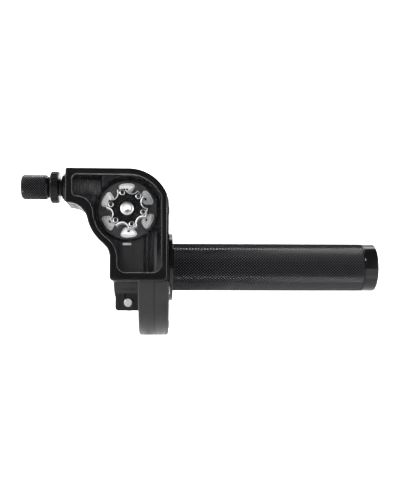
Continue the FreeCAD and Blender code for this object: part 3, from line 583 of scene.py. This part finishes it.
def adjuster_thread():
    """The stem's real helical thread, one pitch a turn, fading out at its inner end."""
    start = BARREL_LOW.x + THREAD_START
    end = BARREL_HIGH.x
    segments = 48
    rows_a_turn = 10
    mesh_data = bmesh.new()
    rows = round((end - start) / THREAD_PITCH * rows_a_turn)
    loops = []
    for row in range(rows + 1):
        along = start + (end - start) * row / rows
        fade = min(1.0, (end - along) / THREAD_FADE)
        points = []
        for segment in range(segments):
            turn = segment / segments
            phase = ((along - start) / THREAD_PITCH - turn) % 1.0
            flank = min(1.0, max(0.0, (abs(phase - 0.5) - THREAD_ROOT) / THREAD_FLANK))
            radius = THREAD_RADIUS - THREAD_DEPTH * (1 - flank) - THREAD_SINK * (1 - fade)
            points.append(round_x(along, radius, 2 * math.pi * turn, ADJUSTER_AXIS))
        loops.append(loop_of(mesh_data, points))
    for along in (end, start):
        loops.append(circle(mesh_data, round_x, along, CABLE_HOLE, ADJUSTER_AXIS, segments))
    loft(mesh_data, loops, closed=True)
    make_piece("adjuster_thread", mesh_data, ["thread_black"], "adjuster",
               ["adjuster_barrel"], 50)


def lock_nut():
    """Straight-knurled ring nut with chamfered ends."""
    columns = 4 * NUT_TEETH
    bore = THREAD_RADIUS + 0.05 * MM
    half = NUT_CHAMFER / 2
    sections = [(NUT_LOW.x, NUT_RADIUS - NUT_CHAMFER), (NUT_LOW.x + half, NUT_RADIUS - half),
                (NUT_LOW.x + NUT_CHAMFER, NUT_RADIUS), (NUT_HIGH.x - NUT_CHAMFER, NUT_RADIUS),
                (NUT_HIGH.x - half, NUT_RADIUS - half), (NUT_HIGH.x, NUT_RADIUS - NUT_CHAMFER)]
    mesh_data = bmesh.new()
    loops = []
    for along, cap in sections:
        points = []
        for column in range(columns):
            tall = column % 4 < 2
            radius = min(cap, NUT_RADIUS if tall else NUT_RADIUS - NUT_TOOTH)
            angle = 2 * math.pi * column / columns
            points.append(round_x(along, radius, angle, ADJUSTER_AXIS))
        loops.append(loop_of(mesh_data, points))
    for along in (NUT_HIGH.x, NUT_LOW.x):
        loops.append(circle(mesh_data, round_x, along, bore, ADJUSTER_AXIS, columns))
    loft(mesh_data, loops, closed=True)
    make_piece("knurled_lock_nut", mesh_data, ["adjuster_plain"], "nut",
               ["lock_nut"], 15)


# ---- frame and window ---------------------------------------------------------------
def front_frame():
    """The gloss border, rounded outside, with a step behind it that the pane sits in."""
    front = BEZEL_LOW.y
    back = BEZEL_HIGH.y
    step = back - 0.9 * MM
    step_width = 0.8 * MM
    # The outer edge's rounding: how far inwards and how far behind the front, in mm.
    rounding = ((0.0, 0.45), (0.04, 0.26), (0.13, 0.13), (0.26, 0.04), (0.45, 0.0))
    outer = [(0.0, back)] + [(inwards * MM, front + behind * MM) for inwards, behind in rounding]
    inner = [(-0.12 * MM, front), (-0.03 * MM, front + 0.03 * MM), (0.0, front + 0.12 * MM),
             (0.0, step), (-step_width, step), (-step_width, back)]
    mesh_data = bmesh.new()
    loops = [outline_loop(mesh_data, FRAME_OUTLINE, *section) for section in outer]
    loops += [outline_loop(mesh_data, WINDOW_OUTLINE, *section) for section in inner]
    loft(mesh_data, loops, closed=True)
    make_piece("gloss_front_frame", mesh_data, ["frame_gloss"], "housing",
               ["front_frame"], 40)


def window_pane():
    """The clear pane: chamfered in front, and wider behind, where the frame's step holds it."""
    front = PANE_LOW.y
    back = PANE_HIGH.y
    step = back - 0.8 * MM
    gap = 0.12 * MM
    flange = 0.7 * MM
    sections = [(0.36 * MM, front), (gap, front + 0.2 * MM), (gap, step), (-flange, step),
                (-flange, back)]
    mesh_data = bmesh.new()
    loops = [outline_loop(mesh_data, WINDOW_OUTLINE, *section) for section in sections]
    # Every edge and chamfer section takes the lighter edge tone, a painted highlight line.
    loft(mesh_data, loops, [1, 1, 1, 1])
    fill_between(mesh_data, [loops[0]])
    fill_between(mesh_data, [loops[-1]])
    make_piece("clear_window", mesh_data, ["pane", "pane_edge_highlight"], "housing",
               ["window"], 20)


# ---- guide wheel --------------------------------------------------------------------
def star_outline(shrink):
    """(x, z) points of the six-lobed star, shrink smaller all round."""
    tip = STAR_TIP - shrink
    half = STAR_HALF_ANGLE - math.degrees(shrink / STAR_TIP) * STAR_NARROWING
    dip = STAR_DIP - shrink
    points = []
    for lobe in range(LOBES):
        middle = STAR_ANGLE + LOBE_STEP * lobe
        points.append(on_wheel(tip, middle - half))
        points.append(on_wheel(tip * math.cos(math.radians(half)), middle))
        points.append(on_wheel(tip, middle + half))
        gap = math.radians(LOBE_STEP / 2 - half)
        half_chord = tip * math.sin(gap)
        sag = tip * math.cos(gap) - dip
        bend = (half_chord ** 2 + sag ** 2) / (2 * sag)
        centre = on_wheel(dip + bend, middle + LOBE_STEP / 2)
        start = Vector(on_wheel(tip, middle + half)) - Vector(centre)
        end = Vector(on_wheel(tip, middle + LOBE_STEP - half)) - Vector(centre)
        start_angle = math.degrees(math.atan2(start.y, start.x))
        sweep = math.degrees(end.angle_signed(start))
        dip_arc = arc_points(centre, bend, start_angle, start_angle + sweep, steps=12)
        points += dip_arc[1:-1]
    return points


def star_cap():
    """The black star with its bright cut edge, bore and six screw recesses."""
    front = STAR_LOW.y
    back = STAR_HIGH.y
    bore_chamfer = 0.35 * MM
    segments = 28
    mesh_data = bmesh.new()
    outer = [shape_loop(mesh_data, star_outline(STAR_CHAMFER), front),
             shape_loop(mesh_data, star_outline(0.0), front + 0.6 * STAR_CHAMFER),
             shape_loop(mesh_data, star_outline(0.0), back)]
    loft(mesh_data, outer, [1, 1, 1])
    bore = [ring_loop(mesh_data, WHEEL_AXIS, STAR_BORE + bore_chamfer, front),
            ring_loop(mesh_data, WHEEL_AXIS, STAR_BORE, front + bore_chamfer),
            ring_loop(mesh_data, WHEEL_AXIS, STAR_BORE, back)]
    loft(mesh_data, bore)
    holes = []
    for lobe in range(LOBES):
        place = on_wheel(SCREW_CIRCLE, STAR_ANGLE + LOBE_STEP * lobe)
        floor = front + SCREW_RECESS_DEPTH
        recess = [ring_loop(mesh_data, place, SCREW_RECESS, front, segments),
                  ring_loop(mesh_data, place, SCREW_RECESS, floor, segments)]
        loft(mesh_data, recess)
        mesh_data.faces.new(recess[-1])
        holes.append(recess[0])
    fill_between(mesh_data, [outer[0], bore[0]] + holes)
    fill_between(mesh_data, [outer[-1], bore[-1]])
    make_piece("star_hub_cap", mesh_data, ["star_black", "bare_cut"], "wheel",
               ["star_cap"], 28)


def petal_outline(angle, grow):
    """Rounded fan-shaped opening in the wheel's face ring, grow larger all round."""
    outer = PETAL_OUTER + grow
    inner = PETAL_INNER - grow
    wide = PETAL_WIDE + grow
    slim = PETAL_SLIM + grow
    bends = 7
    side_steps = 6
    fan = [(wide, outer), (slim, inner), (-slim, inner), (-wide, outer)]
    corners = rounded(fan, PETAL_ROUNDING, bends)
    points = []
    for index, corner in enumerate(corners):
        following = corners[(index + 1) % len(corners)]
        steps = side_steps if index % (bends + 1) == bends else 1
        for step in range(steps):
            along = corner[0] + (following[0] - corner[0]) * step / steps
            radius = corner[1] + (following[1] - corner[1]) * step / steps
            points.append(on_wheel(radius, angle + math.degrees(along / radius)))
    return points


def wheel_face_ring():
    """The black ring on the wheel's face, with six petal openings."""
    front = FACE_LOW.y
    back = FACE_HIGH.y
    edge = 0.25 * MM
    petal_edge = 0.15 * MM
    segments = 120
    mesh_data = bmesh.new()
    outer = [ring_loop(mesh_data, WHEEL_AXIS, WHEEL_RIM - edge, front, segments),
             ring_loop(mesh_data, WHEEL_AXIS, WHEEL_RIM, front + edge, segments),
             ring_loop(mesh_data, WHEEL_AXIS, WHEEL_RIM, back, segments)]
    loft(mesh_data, outer)
    bore = [ring_loop(mesh_data, WHEEL_AXIS, STAR_BORE, front),
            ring_loop(mesh_data, WHEEL_AXIS, STAR_BORE, back)]
    loft(mesh_data, bore)
    fronts = [outer[0], bore[0]]
    backs = [outer[-1], bore[-1]]
    for lobe in range(LOBES):
        angle = PETAL_ANGLE + LOBE_STEP * lobe
        wall = [shape_loop(mesh_data, petal_outline(angle, petal_edge), front),
                shape_loop(mesh_data, petal_outline(angle, 0.0), front + petal_edge),
                shape_loop(mesh_data, petal_outline(angle, 0.0), back)]
        loft(mesh_data, wall)
        fronts.append(wall[0])
        backs.append(wall[-1])
    fill_between(mesh_data, fronts)
    fill_between(mesh_data, backs)
    make_piece("petal_face_ring", mesh_data, ["disc_black"], "wheel",
               ["wheel_face_ring"], 30)


def petal_pads():
    """Silver pads with rounded rims in the petals, each with a small hole painted near black as
    shade.
    """
    face = FACE_HIGH.y
    # Each loop's growth past the petal opening and its place behind the ring's back, in mm.
    sections = ((-0.75, 0.05), (-0.75, -0.5), (-0.85, -0.68), (-1.05, -0.75), (-1.4, -0.75),
                (-1.6, -0.6), (-1.8, -0.55))
    segments = 24
    mesh_data = bmesh.new()
    for lobe in range(LOBES):
        angle = PETAL_ANGLE + LOBE_STEP * lobe
        loops = [shape_loop(mesh_data, petal_outline(angle, grow * MM), face + behind * MM)
                 for grow, behind in sections]
        place = on_wheel(PAD_HOLE_CIRCLE, angle)
        hole = [ring_loop(mesh_data, place, PAD_HOLE, face - 0.55 * MM, segments),
                ring_loop(mesh_data, place, PAD_HOLE, face - 0.02 * MM, segments)]
        loft(mesh_data, loops)
        # The hole's wall and floor are painted near black as shade.
        loft(mesh_data, hole, [1])
        fill_between(mesh_data, [hole[1]], 1)
        fill_between(mesh_data, [loops[-1], hole[0]])
        fill_between(mesh_data, [loops[0]])
    make_piece("petal_pads", mesh_data, ["wheel_silver", "painted_shade_socket"], "wheel",
               [], 25)


def hexagon(mesh_data, centre, across_flats, depth, turn):
    """A hexagonal loop with as many vertices as a round one, so that the two bridge."""
    points = []
    for index in range(HEAD_SEGMENTS):
        angle = 2 * math.pi * index / HEAD_SEGMENTS
        from_flat = (math.degrees(angle) + 30) % 60 - 30
        radius = across_flats / 2 / math.cos(math.radians(from_flat))
        points.append(round_y(depth, radius, angle + turn, centre))
    return loop_of(mesh_data, points)


def socket_head(mesh_data, centre, front, radius, height, across_flats, socket_depth, turn):
    """A screw head with a rounded rim and a hexagon socket with a coned floor."""
    rim = 0.24 * radius
    sections = [(radius, front + height), (radius, front + rim),
                (radius - 0.3 * rim, front + 0.3 * rim), (radius - rim, front)]
    floor = front + socket_depth
    loops = [circle(mesh_data, round_y, depth, size, centre, HEAD_SEGMENTS, turn)
             for size, depth in sections]
    mesh_data.faces.new(loops[0])
    loops.append(hexagon(mesh_data, centre, across_flats + 0.2 * MM, front, turn))
    loops.append(hexagon(mesh_data, centre, across_flats, front + 0.1 * MM, turn))
    loops.append(hexagon(mesh_data, centre, across_flats, floor, turn))
    # The socket's walls and coned floor take the third slot, which the star screws fill with
    # painted shade.
    loft(mesh_data, loops, [0, 0, 0, 1, 1, 2])
    tip = mesh_data.verts.new((centre[0], floor + 0.25 * across_flats, centre[1]))
    last = loops[-1]
    for index in range(HEAD_SEGMENTS):
        face = mesh_data.faces.new((last[index], last[(index + 1) % HEAD_SEGMENTS], tip))
        face.material_index = 2


def star_screws():
    """Six small screws, each turned a little further than the last."""
    front = STAR_LOW.y + 0.15 * MM
    mesh_data = bmesh.new()
    for lobe in range(LOBES):
        place = on_wheel(SCREW_CIRCLE, STAR_ANGLE + LOBE_STEP * lobe)
        socket_head(mesh_data, place, front, radius=1.55 * MM, height=1.1 * MM,
                    across_flats=1.5 * MM, socket_depth=0.7 * MM, turn=0.35 * lobe)
    make_piece("star_cap_screws", mesh_data, ["bright_steel", "dark_steel", "painted_shade_socket"],
               "wheel", ["star_screws"], 25)


def axle_bolt():
    """The wheel's axle: a socket head and the shank that carries the bearing."""
    low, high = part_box("wheel_axle")
    shank_radius = 2.5 * MM
    mesh_data = bmesh.new()
    socket_head(mesh_data, WHEEL_AXIS, low.y, radius=(high.x - low.x) / 2, height=3.0 * MM,
                across_flats=4.0 * MM, socket_depth=0.9 * MM, turn=0.2)
    shank = [ring_loop(mesh_data, WHEEL_AXIS, shank_radius, low.y + 2.9 * MM, HEAD_SEGMENTS),
             ring_loop(mesh_data, WHEEL_AXIS, shank_radius, high.y, HEAD_SEGMENTS)]
    loft(mesh_data, shank)
    mesh_data.faces.new(shank[0])
    mesh_data.faces.new(shank[1])
    make_piece("axle_head", mesh_data, ["steel", "steel", "bright_steel"], "housing",
               ["wheel_axle"], 25)


# ---- finishes of the CAD nodes that stay --------------------------------------------
NODE_FINISHES = {
    "case_black": ["housing_body", "drum_cover", "clamp_cap"],
    "adjuster_plain": ["cable_boss"],
    "well_black": ["cable_drum"],
    "ring_gloss": ["end_ring", "tube_flange"],
    "tube_alloy": ["throttle_tube"],
    "wheel_silver": ["guide_wheel"],
    "steel": ["cover_screws", "clamp_bolts", "clamp_washers", "stop_pin", "frame_pins", "well_key",
              "bearing_inner", "bearing_outer", "bearing_balls",
              "front_axle_sleeve", "rear_axle_sleeve", "drum_screws", "end_ring_screws"],
    "bronze": ["bearing_cage", "left_bush", "right_bush"],
    "gasket": ["window_gasket"],
    "nylon": ["left_thrust_washer", "right_thrust_washer", "cable_seat"],
}


def finish_nodes():
    for finish, names in NODE_FINISHES.items():
        for name in names:
            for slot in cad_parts[name].material_slots:
                slot.material = MATERIALS[finish]


# ---- stage --------------------------------------------------------------------------
def plain_sheet(name, corners, glow):
    """A pale flat sheet of the stage that also gives off a little light of its own."""
    mesh = bpy.data.meshes.new(name)
    mesh.from_pydata(corners, [], [(0, 1, 2, 3)])
    sheet = bpy.data.objects.new(name, mesh)
    bpy.context.collection.objects.link(sheet)
    material, shader = new_material(name, (0.9, 0.9, 0.9), 0.9)
    shader.inputs["Emission Color"].default_value = (1, 1, 1, 1)
    shader.inputs["Emission Strength"].default_value = glow
    mesh.materials.append(material)


def softbox(name, place, size, power):
    """A rectangular lamp aimed at the middle of the grip and housing."""
    data = bpy.data.lights.new(name, "AREA")
    data.shape = "RECTANGLE"
    data.size = size[0]
    data.size_y = size[1]
    data.energy = power
    lamp = bpy.data.objects.new(name, data)
    lamp.location = place
    aim = Vector((0.04, 0, 0)) - Vector(place)
    lamp.rotation_euler = aim.to_track_quat("-Z", "Y").to_euler()
    bpy.context.collection.objects.link(lamp)


def stage():
    """Plain pale floor and backdrop, long strips for the gloss and two soft front lamps."""
    reach = 2.4
    floor_z = -0.16
    floor_front = -1.2
    wall_y = 1.0
    wall_top = 2.2
    plain_sheet("floor", [(-reach, floor_front, floor_z), (reach, floor_front, floor_z),
                          (reach, wall_y, floor_z), (-reach, wall_y, floor_z)], glow=0.38)
    plain_sheet("backdrop", [(-reach, wall_y, floor_z), (reach, wall_y, floor_z),
                             (reach, wall_y, wall_top), (-reach, wall_y, wall_top)], glow=1.0)
    softbox("top_softbox", (0.04, 0.12, 0.34), size=(0.7, 0.10), power=1.3)
    softbox("low_strip", (0.04, -0.125, -0.155), size=(0.5, 0.06), power=0.1)
    softbox("right_strip", (1.07, -0.37, 0.335), size=(0.55, 0.07), power=5.0)
    softbox("left_strip", (-1.13, -0.16, 0.54), size=(0.3, 0.1), power=6.0)
    softbox("left_softbox", (-0.55, -0.75, 0.12), size=(0.4, 0.4), power=6.0)
    softbox("right_softbox", (0.70, -0.75, 0.12), size=(0.4, 0.4), power=6.0)
    world = bpy.data.worlds.new("studio")
    world.use_nodes = True
    background = world.node_tree.nodes["Background"]
    background.inputs["Color"].default_value = (1, 1, 1, 1)
    background.inputs["Strength"].default_value = 0.08
    bpy.context.scene.world = world
    bpy.context.scene.view_settings.view_transform = "Standard"


def camera():
    """Views the front from below the bar's level, turned a little right and up."""
    distance = 450 * MM
    place = Vector((19 * MM, -distance, -25.8 * MM))
    aim = Vector((43 * MM, 0.0, 10.2 * MM))
    data = bpy.data.cameras.new("camera")
    data.lens = 54.7
    data.sensor_width = 36.0
    data.clip_start = 0.01
    viewer = bpy.data.objects.new("camera", data)
    viewer.location = place
    viewer.rotation_euler = (aim - place).to_track_quat("-Z", "Y").to_euler()
    bpy.context.collection.objects.link(viewer)
    bpy.context.scene.camera = viewer


def main():
    camera()
    finish_nodes()
    grip_sleeve()
    adjuster_knob()
    adjuster_thread()
    lock_nut()
    front_frame()
    window_pane()
    star_cap()
    wheel_face_ring()
    petal_pads()
    star_screws()
    axle_bolt()
    stage()


main()
